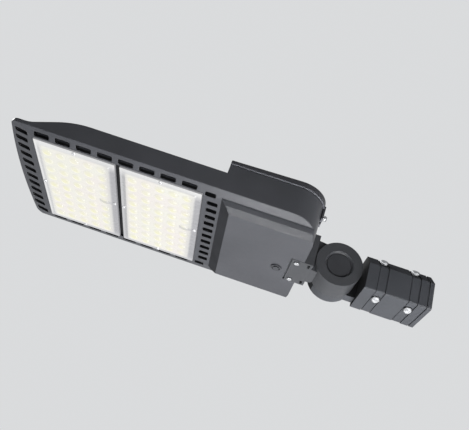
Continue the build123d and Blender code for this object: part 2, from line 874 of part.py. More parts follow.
def lid_hinge_pins():
    half = hinge_lug_width / 2 + hinge_side_gap + hinge_ear_width
    pins = []
    for side in (-1, 1):
        y = side * hinge_spacing / 2
        start = (hinge_x, y - half, hinge_z)
        pins.append(rod(hinge_pin_diameter / 2, start, (hinge_x, y + half, hinge_z)))
    return pins


def lid_screws():
    """Captive screws in the end wall, backed off so that the slotted lip can lift."""
    length = lid_screw_seat_x - rear_x + lid_screw_grip
    screw = round_screw(lid_screw_head_radius, lid_screw_head_height, lid_screw_diameter / 2, length)
    return [
        place(screw, (lid_screw_seat_x, side * lid_screw_spacing / 2, lid_screw_height), (1, 0, 0))
        for side in (-1, 1)
    ]


def gear_tray():
    """Folded sheet plate that stands on the posts of the tub."""
    half = tray_half_width
    top = tray_bottom + tray_flange
    body = block((tray_front_x, -half, tray_bottom), (tray_end_x, half, tray_top))
    for start in (tray_front_x, tray_end_x - tray_thickness):
        body += block((start, -half, tray_bottom), (start + tray_thickness, half, top))
    radius = tray_screw_diameter / 2 + hole_clearance
    for x, y in tray_posts:
        body -= rod(radius, (x, y, tray_bottom - cut_margin), (x, y, tray_top + cut_margin))
    return body


def tray_screws():
    length = tray_thickness + tray_screw_grip - cut_margin
    screw = round_screw(tray_screw_head_radius, tray_screw_head_height, tray_screw_diameter / 2, length)
    return [Pos(x, y, tray_top) * screw for x, y in tray_posts]


def led_driver():
    """Extruded driver case with ribs along its top."""
    half = driver_end_y - driver_cap
    middle = tray_top + driver_height / 2
    case = Pos(driver_centre_x, 0, middle) * Box(driver_width, 2 * half, driver_height)
    case = chamfer(case.edges().filter_by(Axis.Y), driver_corner)
    spacing = (driver_width - 2 * driver_corner) / driver_rib_count
    top = tray_top + driver_height
    for i in range(driver_rib_count):
        x = driver_centre_x + (i - (driver_rib_count - 1) / 2) * spacing
        low = (x - driver_rib_width / 2, -half, top - driver_rib_height)
        case += block(low, (x + driver_rib_width / 2, half, top + driver_rib_height))
    return case


def driver_end_caps():
    caps = []
    middle = tray_top + driver_height / 2
    for side in (-1, 1):
        y = side * (driver_end_y - driver_cap / 2)
        cap = Pos(driver_centre_x, y, middle) * Box(driver_width, driver_cap, driver_height)
        caps.append(chamfer(cap.edges().filter_by(Axis.Y), driver_corner))
    return caps


def terminal_ways_y():
    step = terminal_length / terminal_ways
    return [terminal_y + (i - (terminal_ways - 1) / 2) * step for i in range(terminal_ways)]


def terminal_block():
    """Screw terminal strip with a wire port and a screw well for each way."""
    top = tray_top + terminal_height
    centre = (gear_centre_x, terminal_y, tray_top + terminal_height / 2)
    body = Pos(*centre) * Box(terminal_width, terminal_length, terminal_height)
    side = gear_centre_x + terminal_width / 2
    well = terminal_screw_radius + thread_clearance
    well_floor = top - terminal_screw_height - seat_gap
    port_z = tray_top + terminal_port_height
    for y in terminal_ways_y():
        body -= rod(well, (gear_centre_x, y, well_floor), (gear_centre_x, y, top + cut_margin))
        port_start = (side - terminal_port_depth, y, port_z)
        body -= rod(terminal_port_radius, port_start, (side + cut_margin, y, port_z))
    return body


def terminal_screws():
    top = tray_top + terminal_height - seat_gap
    return [
        rod(terminal_screw_radius, (gear_centre_x, y, top - terminal_screw_height), (gear_centre_x, y, top))
        for y in terminal_ways_y()
    ]


def surge_protector():
    """Potted block beside the terminals, with rounded upright corners."""
    base = Pos(gear_centre_x, surge_y) * RectangleRounded(surge_width, surge_length, surge_corner)
    return upright(base, tray_top, tray_top + surge_height)


def wire_grommet():
    """Rubber bush in the front wall of the box, for the module leads."""
    half = wall / 2 + grommet_flange_height
    centre_x = box_front_x + wall / 2
    body = rod(grommet_body_radius, (centre_x - half, 0, grommet_z), (centre_x + half, 0, grommet_z))
    for start in (box_front_x - grommet_flange_height, box_front_x + wall):
        end = (start + grommet_flange_height, 0, grommet_z)
        body += rod(grommet_flange_radius, (start, 0, grommet_z), end)
    start = (centre_x - half - cut_margin, 0, grommet_z)
    return body - rod(grommet_hole_radius, start, (centre_x + half + cut_margin, 0, grommet_z))


def cable_gland():
    """Closed inlet of the supply cable, screwed into the end wall from inside."""
    seat = rear_x - wall
    body = rod(gland_body_radius, (seat, 0, wire_way_height), (rear_x, 0, wire_way_height))
    nut = extrude(RegularPolygon(gland_nut_width / 2, 6, major_radius=False), gland_nut_height)
    body += place(nut, (seat, 0, wire_way_height), (-1, 0, 0))
    dome_start = (seat - gland_nut_height, 0, wire_way_height)
    dome_end = (seat - gland_nut_height - gland_dome_height, 0, wire_way_height)
    dome = rod(gland_dome_radius, dome_start, dome_end)
    rim = dome.edges().group_by(Axis.X)[0]
    return body + fillet(rim, gland_dome_fillet)


def breather_plug():
    """Round plug under the box: a dished ring with a raised centre."""
    y = breather_offset_y
    low = plateau_z - breather_height
    body = rod(breather_radius, (breather_x, y, low), (breather_x, y, plateau_z))
    middle = plateau_z - breather_height / 2
    ring = rod(breather_ring_radius, (breather_x, y, low - cut_margin), (breather_x, y, middle))
    core = rod(breather_core_radius, (breather_x, y, low - breather_core_height), (breather_x, y, plateau_z))
    stem_end = tub_floor + breather_stem
    stem = rod(breather_thread_radius, (breather_x, y, middle), (breather_x, y, stem_end))
    return body - ring + core + stem


def tooth_grooves(face_y, inward):
    """Radial V grooves in one face of the knuckle."""
    flank = tooth_width / 2 / tooth_depth
    outside = face_y - inward * cut_margin
    mouth = flank * (tooth_depth + cut_margin)
    section = polygon((outside, -mouth), (outside, mouth), (face_y + inward * tooth_depth, 0))
    groove = along_x(section, tooth_ring_inner, tooth_ring_outer)
    step = 360 / tooth_count
    return [Pos(pivot_x, 0, 0) * Rot(0, step * i, 0) * groove for i in range(tooth_count)]


def pivot_bore():
    radius = pivot_diameter / 2 + running_clearance
    far = knuckle_far_face + cut_margin
    return rod(radius, (pivot_x, -knuckle_near_face - cut_margin, 0), (pivot_x, far, 0))


def mounting_arm():
    """Cast arm: foot plate, flange, tapered neck and the near part of the knuckle."""
    foot_low = (foot_front_x, -flange_half_width, foot_bottom)
    body = block(foot_low, (flange_back_x, flange_half_width, foot_top))
    flange_low = (rear_x, -flange_half_width, foot_bottom)
    body += block(flange_low, (flange_back_x, flange_half_width, flange_top))
    root = flange_back_x - cut_margin
    neck = polygon(
        (root, -neck_root_half_width), (root, neck_root_half_width),
        (pivot_x, neck_tip_half_width), (pivot_x, -neck_tip_half_width),
    )
    body += upright(neck, plateau_z, flange_top)
    relief = knuckle_radius + neck_relief
    body -= rod(relief, (pivot_x, arm_inner_y, 0), (pivot_x, flange_half_width, 0))
    body += rod(knuckle_radius, (pivot_x, -knuckle_near_face, 0), (pivot_x, arm_inner_y, 0))
    near = -knuckle_near_face - cut_margin
    body -= rod(cap_radius + hole_clearance, (pivot_x, near, 0), (pivot_x, cap_floor_y, 0))
    mouth = Cone(cap_mouth_radius, cap_radius + hole_clearance, cap_mouth_depth)
    mouth_y = -knuckle_near_face + cap_mouth_depth / 2
    body -= place(mouth, (pivot_x, mouth_y, 0), (0, 1, 0))
    body -= pivot_bore()
    body -= tooth_grooves(arm_inner_y, -1)
    slot_x = flange_back_x - foot_slot_inset
    for side in (-1, 1):
        y = side * foot_screw_y
        slot = Pos(slot_x, y) * RectangleRounded(foot_slot_width, foot_slot_length, foot_slot_corner)
        body -= upright(slot, foot_bottom - cut_margin, foot_bottom + foot_slot_depth)
        radius = foot_screw_diameter / 2 + hole_clearance
        low = (foot_screw_x, y, foot_bottom - cut_margin)
        body -= rod(radius, low, (foot_screw_x, y, foot_top + cut_margin))
    for x, y, z in arm_bolt_points():
        radius = arm_bolt_diameter / 2 + thread_clearance
        body -= rod(radius, (x, y, z), (rear_x + arm_bolt_grip + thread_clearance, y, z))
    way_start = (rear_x - cut_margin, 0, wire_way_height)
    return body - rod(wire_way_radius, way_start, (rear_x + wire_way_depth, 0, wire_way_height))


def foot_screws():
    length = foot_thickness + foot_screw_grip
    screw = hex_screw(foot_screw_head_width, foot_screw_head_height, foot_screw_diameter / 2, length)
    return [
        place(screw, (foot_screw_x, side * foot_screw_y, foot_bottom), (0, 0, -1))
        for side in (-1, 1)
    ]


def arm_bolts():
    length = wall + arm_bolt_grip
    bolt = hex_screw(arm_bolt_head_width, arm_bolt_head_height, arm_bolt_diameter / 2, length)
    return [place(bolt, point, (-1, 0, 0)) for point in arm_bolt_points()]


def pivot_bolt():
    """Bolt through both parts of the knuckle, with its head under the cap."""
    seat = cap_floor_y - washer_thickness
    end = nut_seat_y + pivot_nut_height
    bolt = hex_screw(pivot_head_width, pivot_head_height, pivot_radius, end - seat)
    return place(bolt, (pivot_x, seat, 0), (0, -1, 0))


def pivot_washers():
    hole = pivot_bore()
    washers = []
    for start in (cap_floor_y - washer_thickness, nut_floor_y + moving_gap):
        end = (pivot_x, start + washer_thickness, 0)
        washers.append(rod(washer_radius, (pivot_x, start, 0), end) - hole)
    return washers


def pivot_nut():
    nut = extrude(RegularPolygon(pivot_head_width / 2, 6, major_radius=False), pivot_nut_height)
    return place(nut, (pivot_x, nut_seat_y, 0), (0, 1, 0)) - pivot_bore()


def pivot_cap():
    """Round cover over the bolt head, set back a little from the knuckle's face."""
    front = -knuckle_near_face + cap_setback
    body = rod(cap_radius, (pivot_x, front, 0), (pivot_x, cap_floor_y, 0))
    rim = body.edges().group_by(Axis.Y)[0]
    body = fillet(rim, cap_edge_radius)
    hollow_end = (pivot_x, cap_floor_y + cut_margin, 0)
    return body - rod(cap_radius - cap_wall, (pivot_x, front + cap_wall, 0), hollow_end)


def fitter_section(inset):
    """Cross-section of the slip fitter: flat floor, upright sides and 45 degree roof facets."""
    half = fitter_half_width - inset
    floor = fitter_floor_z + inset
    roof = fitter_roof_z - inset
    facet = roof_facet - inset * (2 - sqrt(2))
    face = polygon(
        (-half, floor), (-half, roof - facet), (-half + facet, roof),
        (half - facet, roof), (half, roof - facet), (half, floor),
    )
    return fillet(face.vertices().sort_by(Axis.Y)[:2], lower_corner_radius)


def low_screw_seats(start, end):
    """Round pads of the lower clamp screws, or the cuts over them, between two distances from the axis."""
    _, ny, nz = low_screw_direction
    return [
        rod(low_seat_radius, (x, ny * start, nz * start), (x, ny * end, nz * end))
        for x in set_screw_places
    ]


def slip_fitter():
    """Tenon clamp: banded and grooved tube, closed back wall, neck and the far part of the knuckle."""
    body = along_x(fitter_section(0), fitter_back_x, 0)
    band = fitter_section(-cut_margin) - fitter_section(band_depth)
    groove = fitter_section(-cut_margin) - fitter_section(fitter_groove_depth)
    for x in set_screw_places:
        body -= along_x(band, x - band_width / 2, x + band_width / 2)
        for edge in (x - band_width / 2, x + band_width / 2 - band_groove_width):
            body -= along_x(groove, edge, edge + band_groove_width)
    body -= along_x(groove, -mouth_groove_inset - mouth_groove_width, -mouth_groove_inset)
    neck_low = (pivot_x, fitter_inner_y, -fitter_neck_drop)
    neck_high = (fitter_back_x + fitter_end_wall / 2, knuckle_far_face, fitter_neck_rise)
    body += block(neck_low, neck_high)
    body += rod(knuckle_radius, (pivot_x, fitter_inner_y, 0), (pivot_x, knuckle_far_face, 0))
    body += low_screw_seats(bore_radius, low_seat_distance)
    body -= low_screw_seats(low_seat_distance, low_seat_distance + low_seat_reach)
    body -= rod(bore_radius, (-socket_depth, 0, 0), (cut_margin, 0, 0))
    body -= pivot_bore()
    recess_end = (pivot_x, knuckle_far_face + cut_margin, 0)
    body -= rod(nut_recess_radius, (pivot_x, nut_floor_y, 0), recess_end)
    body -= tooth_grooves(fitter_inner_y, 1)
    radius = set_screw_diameter / 2 + thread_clearance
    for x in set_screw_places:
        for (_, ny, nz), seat in set_screw_seats:
            outer = seat + cut_margin
            body -= rod(radius, (x, 0, 0), (x, ny * outer, nz * outer))
    return body


def set_screws():
    screws = []
    for x in set_screw_places:
        for (nx, ny, nz), seat in set_screw_seats:
            length = seat - bore_radius - set_screw_setback
            screw = hex_screw(set_screw_head_width, set_screw_head_height, set_screw_diameter / 2, length)
            screws.append(place(screw, (x, seat * ny, seat * nz), (nx, ny, nz)))
    return screws


pieces = {
    "housing": housing,
    "front_heat_sink": lambda: heat_sink("front"),
    "rear_heat_sink": lambda: heat_sink("rear"),
    "heat_sink_screws": heat_sink_screws,
    "front_led_board": lambda: led_board("front"),
    "rear_led_board": lambda: led_board("rear"),
    "front_led_chips": lambda: led_chips("front"),
    "rear_led_chips": lambda: led_chips("rear"),
    "front_lens_gasket": lambda: lens_gasket("front"),
    "rear_lens_gasket": lambda: lens_gasket("rear"),
    "front_lens": lambda: lens("front"),
    "rear_lens": lambda: lens("rear"),
    "lens_screws": lens_screws,
    "driver_lid": driver_lid,
    "lid_gasket": lid_gasket,
    "lid_hinge_pins": lid_hinge_pins,
    "lid_screws": lid_screws,
    "gear_tray": gear_tray,
    "tray_screws": tray_screws,
    "led_driver": led_driver,
    "driver_end_caps": driver_end_caps,
    "terminal_block": terminal_block,
    "terminal_screws": terminal_screws,
    "surge_protector": surge_protector,
    "wire_grommet": wire_grommet,
    "cable_gland": cable_gland,
    "breather_plug": breather_plug,
    "mounting_arm": mounting_arm,
    "foot_screws": foot_screws,
    "arm_bolts": arm_bolts,
    "pivot_bolt": pivot_bolt,
    "pivot_washers": pivot_washers,
    "pivot_nut": pivot_nut,
    "pivot_cap": pivot_cap,
    "slip_fitter": slip_fitter,
    "set_screws": set_screws,
}

os.makedirs("parts", exist_ok=True)
for name, make in pieces.items():
    shape = make()
    if isinstance(shape, list):
        shape = Compound(children=shape)
    export_step(shape, f"parts/{name}.step")
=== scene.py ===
import json
import math

import bmesh
import bpy
from mathutils import Matrix, Vector


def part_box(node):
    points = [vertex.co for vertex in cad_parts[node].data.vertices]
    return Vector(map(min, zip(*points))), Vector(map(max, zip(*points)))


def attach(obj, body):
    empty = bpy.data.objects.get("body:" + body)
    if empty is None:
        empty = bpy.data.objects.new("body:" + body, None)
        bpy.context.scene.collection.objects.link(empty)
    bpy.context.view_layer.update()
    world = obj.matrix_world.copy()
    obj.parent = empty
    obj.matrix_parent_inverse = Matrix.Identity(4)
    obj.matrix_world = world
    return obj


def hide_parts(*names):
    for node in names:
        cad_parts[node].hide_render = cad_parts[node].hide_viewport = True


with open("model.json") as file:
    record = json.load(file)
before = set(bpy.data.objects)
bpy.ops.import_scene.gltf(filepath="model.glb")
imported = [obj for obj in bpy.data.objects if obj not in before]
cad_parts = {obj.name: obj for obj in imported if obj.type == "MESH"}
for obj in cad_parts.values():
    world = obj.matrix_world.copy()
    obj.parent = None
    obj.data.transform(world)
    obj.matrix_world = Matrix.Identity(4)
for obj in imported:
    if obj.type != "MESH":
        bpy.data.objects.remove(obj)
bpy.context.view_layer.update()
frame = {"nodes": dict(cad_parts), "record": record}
nodes = frame["nodes"]

# LED modules, in metres as all sizes and places here, from the solids of their lens plates
front_low, front_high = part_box("front_lens")
rear_low, rear_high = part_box("rear_lens")
MODULE_LENGTH = front_high.x - front_low.x
MODULE_WIDTH = front_high.y - front_low.y
MODULE_CENTRES = {
    "front": (front_low.x + front_high.x) / 2,
    "rear": (rear_low.x + rear_high.x) / 2,
}

# Lens plates
LENS_PITCH = 0.025
LENS_COLUMNS = 5
LENS_ROWS = 9
FLANGE_THICKNESS = 0.0048
FLANGE_CORNER = 0.0015
FLANGE_EDGE = 0.0010
PANEL_HEIGHT = 0.0020
PANEL_CORNER = 0.0030
PANEL_INSET = 0.0122
PANEL_SLOPE = 0.0040
SLOPE_END_RUN = 0.0010
SLOPE_END_DROP = 0.0003
FLANGE_FACE = front_high.z - FLANGE_THICKNESS
PANEL_FACE = FLANGE_FACE - PANEL_HEIGHT

# One lens: a collar, and two lobes with a dip between them
COLLAR_FOOT_RADIUS = 0.0098
COLLAR_TOP_RADIUS = 0.0095
COLLAR_SHARE = 0.18
LOBE_RADIUS = 0.0088
WAIST_SHARE = 0.16
DIP_SHARE = 0.10
DIP_WIDTH = 0.0030

# Screws
SET_SCREW_ROWS = (-0.092, -0.033)
LOW_SCREW_LEAN = math.radians(27.0)
LOW_SCREW_SEAT = 0.03865
ROOF_SCREW_SEAT = 0.042687
FOOT_SCREW_X = -0.244
FOOT_SCREW_SIDE = 0.0325
FOOT_FACE = -0.0265
LID_SCREW_SEAT = -0.2259
LID_SCREW_SIDE = 0.098
LID_SCREW_HEIGHT = 0.038
LENS_SCREW_INSET = 0.005
ROUND = 0
HEXAGON = 6

# Limits of the painted shade on the coats
STRIP_BOTTOM = -0.009
VENTS_LENGTHWISE = (-0.7793, -0.4065)
VENTS_SIDE = 0.144
VENT_WALL_HEIGHTS = (-0.0084, -0.0008)
VENT_CEILING_HEIGHTS = (-0.002, 0.020)
BAR_END_LAP = 0.0001
BAR_SIDE_LAP = 0.001
BAR_LENGTHWISE = (front_high.x - BAR_END_LAP, rear_low.x + BAR_END_LAP)
BAR_SIDE = MODULE_WIDTH / 2 + BAR_SIDE_LAP
BAR_HEIGHT = -0.0087
FITTER_NECK_END = -0.120

# Limits of a face's direction, as parts of its normal
VENT_WALL_SLANT = 0.3
VENT_CEILING_SLANT = -0.9
# Faces turned further to the front than this get the painted shade on the front slope
FRONT_SHADE_SLANT = -0.5
SHADED_SLANT = -0.7
LID_RIM_SLANT = -0.7
OUTER_WALL_SLANT = 0.5
DUSTY_SLANTS = (0.25, 0.60)

# Glow of a lens plate and painted light on its flange: places from its middle, and radii as shares of the
# lens pitch
SPOT_RADII = (0.06, 0.44)
RING_RADII = (0.36, 0.42)
REAR_END = (0.050, 0.062)
FRONT_END = (-0.058, -0.061)
WIRE_LENGTHWISE = (0.040, 0.070)
WIRE_SIDE = 0.0045
PANEL_FADE = 0.003
OUTER_WALL_START = 0.010
FLANGE_LENGTHWISE = (-0.062, 0.074)
FRONT_STRIPE = (-0.0692, -0.0625)
NEAR_FLANGE = (-0.100, -0.120)
FAR_FLANGE = (0.105, 0.122)

# View of the photograph, fitted to the head's corners
CAMERA_PLACE = Vector((-0.3236, -0.9688, -0.5448))
CAMERA_RIGHT = Vector((0.9472, -0.1259, 0.2950))
CAMERA_DOWN = Vector((0.3170, 0.5078, -0.8010))
CAMERA_CLIP = (0.05, 50.0)
FOCAL_PIXELS = 600.0
PHOTO_WIDTH = 469.0
SENSOR_MM = 36.0

# Stage
FLOOR_HEIGHT = -1.45
FLOOR_REACH = 30.0
FLOOR_FADE_REACH = (1.8, 8.0)
FLOOR_GLOW = (0.68, 0.88)
SKY_HEIGHTS = (-0.5, 0.3)
SKY_STRENGTHS = (0.07, 0.05)

# Parts of a noise's range that are spread out
CLOUD_RANGE = (0.35, 0.65)
GRAIN_RANGE = (0.3, 0.7)
SPECK_RANGE = (0.42, 0.60)

BEVEL_SAMPLES = 4


def rgb(r, g, b):
    return (r, g, b, 1.0)


def shade(colour, factor):
    return (colour[0] * factor, colour[1] * factor, colour[2] * factor, 1.0)


class Nodes:
    """A node tree with short calls for the nodes used here."""

    def __init__(self, tree):
        self.tree = tree

    def add(self, kind, **settings):
        node = self.tree.nodes.new(kind)
        for key, value in settings.items():
            setattr(node, key, value)
        return node

    def link(self, output, socket):
        self.tree.links.new(output, socket)

    def feed(self, socket, value):
        if isinstance(value, bpy.types.NodeSocket):
            self.link(value, socket)
        else:
            socket.default_value = value

    def math(self, operation, a, b=0.0):
        node = self.add("ShaderNodeMath", operation=operation)
        self.feed(node.inputs[0], a)
        self.feed(node.inputs[1], b)
        return node.outputs[0]

    def above(self, value, limit):
        return self.math("GREATER_THAN", value, limit)

    def below(self, value, limit):
        return self.math("LESS_THAN", value, limit)

    def inside(self, value, low, high):
        return self.all_of(self.above(value, low), self.below(value, high))

    def all_of(self, first, *others):
        """Product of masks or shares."""
        for other in others:
            first = self.math("MULTIPLY", first, other)
        return first

    def any_of(self, first, *others):
        """Largest of masks or shares."""
        for other in others:
            first = self.math("MAXIMUM", first, other)
        return first

    def spread(self, value, low, high, to_low, to_high):
        node = self.add("ShaderNodeMapRange")
        self.link(value, node.inputs["Value"])
        ends = {"From Min": low, "From Max": high, "To Min": to_low, "To Max": to_high}
        for key, number in ends.items():
            node.inputs[key].default_value = number
        return node.outputs["Result"]

    def axes(self, vector):
        node = self.add("ShaderNodeSeparateXYZ")
        self.link(vector, node.inputs[0])
        return node.outputs

    def background(self, colour, strength):
        node = self.add("ShaderNodeBackground")
        self.feed(node.inputs["Color"], colour)
        self.feed(node.inputs["Strength"], strength)
        return node.outputs[0]

    def seen_rays(self):
        """1 for the rays that show the stage: from the camera, off gloss or through glass."""
        path = self.add("ShaderNodeLightPath").outputs
        return self.any_of(path["Is Camera Ray"], path["Is Glossy Ray"], path["Is Transmission Ray"])


class Shader(Nodes):
    """A new material with calls for its textures and its surface."""

    def __init__(self, name):
        self.material = bpy.data.materials.new(name)
        self.material.use_nodes = True
        super().__init__(self.material.node_tree)
        self.bsdf = self.tree.nodes["Principled BSDF"]
        self.place = self.add("ShaderNodeTexCoord").outputs["Object"]

    def noise(self, scale, detail=2.0, roughness=0.5, place=None):
        node = self.add("ShaderNodeTexNoise")
        node.inputs["Scale"].default_value = scale
        node.inputs["Detail"].default_value = detail
        node.inputs["Roughness"].default_value = roughness
        self.link(place or self.place, node.inputs["Vector"])
        return node.outputs["Fac"]

    def clouds(self, scale, detail=2.0):
        """Soft patches from 0 to 1."""
        return self.spread(self.noise(scale, detail), *CLOUD_RANGE, 0.0, 1.0)

    def grained(self, noise, low, high):
        """A noise spread out between two values."""
        return self.spread(noise, *GRAIN_RANGE, low, high)

    def mix(self, factor, a, b):
        node = self.add("ShaderNodeMix", data_type="RGBA")
        self.feed(node.inputs["Factor"], factor)
        self.feed(node.inputs["A"], a)
        self.feed(node.inputs["B"], b)
        return node.outputs["Result"]

    def patchy(self, colour, scale, dark, pale, detail=2.0):
        """A colour in soft patches from a darker to a paler tone."""
        return self.mix(self.clouds(scale, detail), shade(colour, dark), shade(colour, pale))

    def normal(self):
        return self.add("ShaderNodeNewGeometry").outputs["Normal"]

    def bevel(self, radius):
        node = self.add("ShaderNodeBevel", samples=BEVEL_SAMPLES)
        node.inputs["Radius"].default_value = radius
        return node.outputs["Normal"]

    def bump(self, height, strength, distance, normal=None):
        node = self.add("ShaderNodeBump")
        node.inputs["Strength"].default_value = strength
        node.inputs["Distance"].default_value = distance
        self.link(height, node.inputs["Height"])
        if normal:
            self.link(normal, node.inputs["Normal"])
        self.link(node.outputs["Normal"], self.bsdf.inputs["Normal"])

    def colour(self, value):
        self.feed(self.bsdf.inputs["Base Color"], value)

    def roughness(self, value):
        self.feed(self.bsdf.inputs["Roughness"], value)


# Painted shade and highlight: each gives where it lies, its tone as a factor of the colour and where it is
# matt
def vent_shadow(s, flat):
    """Painted deep shadow on the walls and ceilings of the vents and on the bar between the modules."""
    x, y, z = s.axes(s.place)
    reach = s.math("ABSOLUTE", y)
    level = s.axes(flat)[2]
    strips = s.all_of(s.below(reach, VENTS_SIDE), s.inside(x, *VENTS_LENGTHWISE))
    steep = s.below(s.math("ABSOLUTE", level), VENT_WALL_SLANT)
    walls = s.all_of(steep, s.inside(z, *VENT_WALL_HEIGHTS), strips)
    hanging = s.below(level, VENT_CEILING_SLANT)
    ceilings = s.all_of(hanging, s.inside(z, *VENT_CEILING_HEIGHTS), strips)
    bar = s.all_of(s.inside(x, *BAR_LENGTHWISE), s.below(reach, BAR_SIDE), s.above(z, BAR_HEIGHT))
    tone = 0.10
    return s.any_of(walls, ceilings, bar), tone, None


def front_slope_shade(s, flat):
    """Painted shade on the slope in front of the driver box, in uneven patches; the slope is also matt."""
    turned_front = s.below(s.axes(flat)[0], FRONT_SHADE_SLANT)
    slope = s.all_of(turned_front, s.below(s.axes(s.place)[2], STRIP_BOTTOM))
    uneven = s.grained(s.noise(scale=25.0, detail=3.0), low=0.75, high=1.0)
    tone = 0.45
    return s.all_of(slope, uneven), tone, slope


def fitter_back_shade(s, flat):
    """Painted shade on the back wall of the fitter and the near side of its neck, which are also matt."""
    facing_x, facing_y, _ = s.axes(flat)
    neck = s.all_of(s.below(facing_y, SHADED_SLANT), s.below(s.axes(s.place)[0], FITTER_NECK_END))
    shaded = s.any_of(s.below(facing_x, SHADED_SLANT), neck)
    tone = 0.16
    return shaded, tone, shaded


def lid_rim_highlight(s, flat):
    """Painted highlight on the down-facing faces of the lid, which makes its lower edge paler."""
    tone = 2.8
    return s.below(s.axes(flat)[2], LID_RIM_SLANT), tone, None


def worn_edges(s, flat, radius):
    """Share of wear, which grows where a rounded edge turns away from the face."""
    bend = s.add("ShaderNodeVectorMath", operation="DOT_PRODUCT")
    s.link(s.bevel(radius), bend.inputs[0])
    s.link(flat, bend.inputs[1])
    unworn_bend = 0.97
    worn_bend = 0.80
    most_wear = 0.55
    wear = s.spread(bend.outputs["Value"], unworn_bend, worn_bend, 0.0, most_wear)
    return s.all_of(wear, s.noise(scale=60.0, detail=3.0))


def coated(name, colour, roughness, edge_radius=0.0007, soft_radius=0.0007, marks=()):
    """Powder-coated casting: orange-peel grain, cloudy colour, edges worn paler, dusty upper faces, plus
    the painted shade or highlight of its marks.
    """
    s = Shader(name)
    flat = s.normal()
    most_speck = 0.30
    specks = s.spread(s.noise(scale=1800.0, roughness=0.7), *SPECK_RANGE, 0.0, most_speck)
    tone = s.patchy(colour, scale=9.0, dark=0.88, pale=1.10, detail=3.0)
    tone = s.mix(specks, tone, shade(colour, factor=1.45))
    tone = s.mix(worn_edges(s, flat, edge_radius), tone, shade(colour, factor=2.4))
    dull = s.spread(s.axes(flat)[2], *DUSTY_SLANTS, 0.0, 1.0)
    # Each mark paints shade or a highlight into the colour, and may make its place matt
    for mark in marks:
        share, factor, matt = mark(s, flat)
        tone = s.mix(share, tone, shade(colour, factor))
        if matt:
            dull = s.any_of(dull, matt)
    s.colour(tone)
    grain = s.grained(s.noise(scale=140.0, detail=3.0), roughness - 0.06, roughness + 0.07)
    dull_roughness = 0.88
    s.roughness(s.any_of(grain, s.all_of(dull, dull_roughness)))
    s.bsdf.inputs["Specular IOR Level"].default_value = 0.15
    peel = s.noise(scale=1400.0, roughness=0.6)
    s.bump(peel, strength=0.22, distance=0.00025, normal=s.bevel(soft_radius))
    return s.material


def bare_metal(name, colour, roughness, stretch=(1.0, 1.0, 1.0)):
    """Plain metal with fine tool marks and slightly dull patches."""
    s = Shader(name)
    mapping = s.add("ShaderNodeMapping")
    mapping.inputs["Scale"].default_value = stretch
    s.link(s.place, mapping.inputs["Vector"])
    marks = s.noise(scale=900.0, detail=3.0, roughness=0.6, place=mapping.outputs["Vector"])
    s.colour(s.patchy(colour, scale=70.0, dark=0.86, pale=1.06))
    s.bsdf.inputs["Metallic"].default_value = 1.0
    s.roughness(s.grained(marks, roughness - 0.07, roughness + 0.10))
    s.bump(marks, strength=0.12, distance=0.0001, normal=s.bevel(0.0003))
    return s.material


def moulded(name, colour, roughness):
    """Moulded plastic or rubber with a light spark-eroded texture."""
    s = Shader(name)
    s.colour(s.patchy(colour, scale=30.0, dark=0.90, pale=1.10))
    s.roughness(s.grained(s.noise(scale=220.0), roughness - 0.05, roughness + 0.06))
    s.bsdf.inputs["Specular IOR Level"].default_value = 0.25
    s.bump(s.noise(scale=2200.0), strength=0.15, distance=0.00015, normal=s.bevel(0.0004))
    return s.material


def lens_distance(s, along, y):
    """Distance from the middle of the nearest lens, as a share of the pitch."""
    # The half cell puts each lens at the middle of a cell, and the whole cells keep the steps above zero.
    half = 0.5
    cells_before = 100 + half
    squares = []
    for value in (along, y):
        step = s.math("ADD", s.math("DIVIDE", value, LENS_PITCH), cells_before)
        offset = s.math("SUBTRACT", s.math("FRACT", step), half)
        squares.append(s.math("MULTIPLY", offset, offset))
    return s.math("SQRT", s.math("ADD", *squares))


def panel_glow(s, along, y, panel):
    """Light of the panel: warm whites in patches, a yellow spot and a grey ring at each lens, grey ends."""
    distance = lens_distance(s, along, y)
    spot = s.spread(distance, *SPOT_RADII, 1.0, 0.0)
    uneven = s.grained(s.noise(scale=42.0, detail=3.0), low=0.35, high=1.15)
    ring = s.inside(distance, *RING_RADII)
    front_end_part = 0.6
    rear_end = s.spread(along, *REAR_END, 0.0, 1.0)
    front_end = s.spread(along, *FRONT_END, 0.0, front_end_part)
    wire = s.all_of(s.inside(along, *WIRE_LENGTHWISE), s.below(s.math("ABSOLUTE", y), WIRE_SIDE))
    rosy_white = rgb(0.900, 0.850, 0.815)
    creamy_white = rgb(0.895, 0.885, 0.805)
    yellow = rgb(0.925, 0.902, 0.600)
    ring_grey = rgb(0.700, 0.700, 0.690)
    end_grey = rgb(0.560, 0.565, 0.580)
    wire_grey = rgb(0.480, 0.480, 0.520)
    ring_share = 0.22
    end_share = 0.55
    wire_share = 0.55
    glow = s.mix(s.clouds(scale=24.0), rosy_white, creamy_white)
    glow = s.mix(s.all_of(spot, panel, uneven), glow, yellow)
    glow = s.mix(s.all_of(ring, panel, ring_share), glow, ring_grey)
    glow = s.mix(s.all_of(s.any_of(rear_end, front_end), end_share), glow, end_grey)
    return s.mix(s.all_of(wire, wire_share), glow, wire_grey)


def painted_flange_light(s, along, y, outer_wall, front_grey):
    """Painted light on the flange: paler in front and on the near side, with painted shade on its outer
    wall.
    """
    rear_grey = rgb(0.330, 0.330, 0.350)
    near_grey = rgb(0.800, 0.800, 0.790)
    far_grey = rgb(0.520, 0.520, 0.535)
    wall_grey = rgb(0.230, 0.230, 0.240)
    side_share = 0.8
    glow = s.mix(s.spread(along, *FLANGE_LENGTHWISE, 0.0, 1.0), rgb(*front_grey), rear_grey)
    glow = s.mix(s.inside(along, *FRONT_STRIPE), glow, shade(front_grey, factor=0.78))
    glow = s.mix(s.spread(y, *NEAR_FLANGE, 0.0, side_share), glow, near_grey)
    glow = s.mix(s.spread(y, *FAR_FLANGE, 0.0, side_share), glow, far_grey)
    return s.mix(outer_wall, glow, wall_grey)


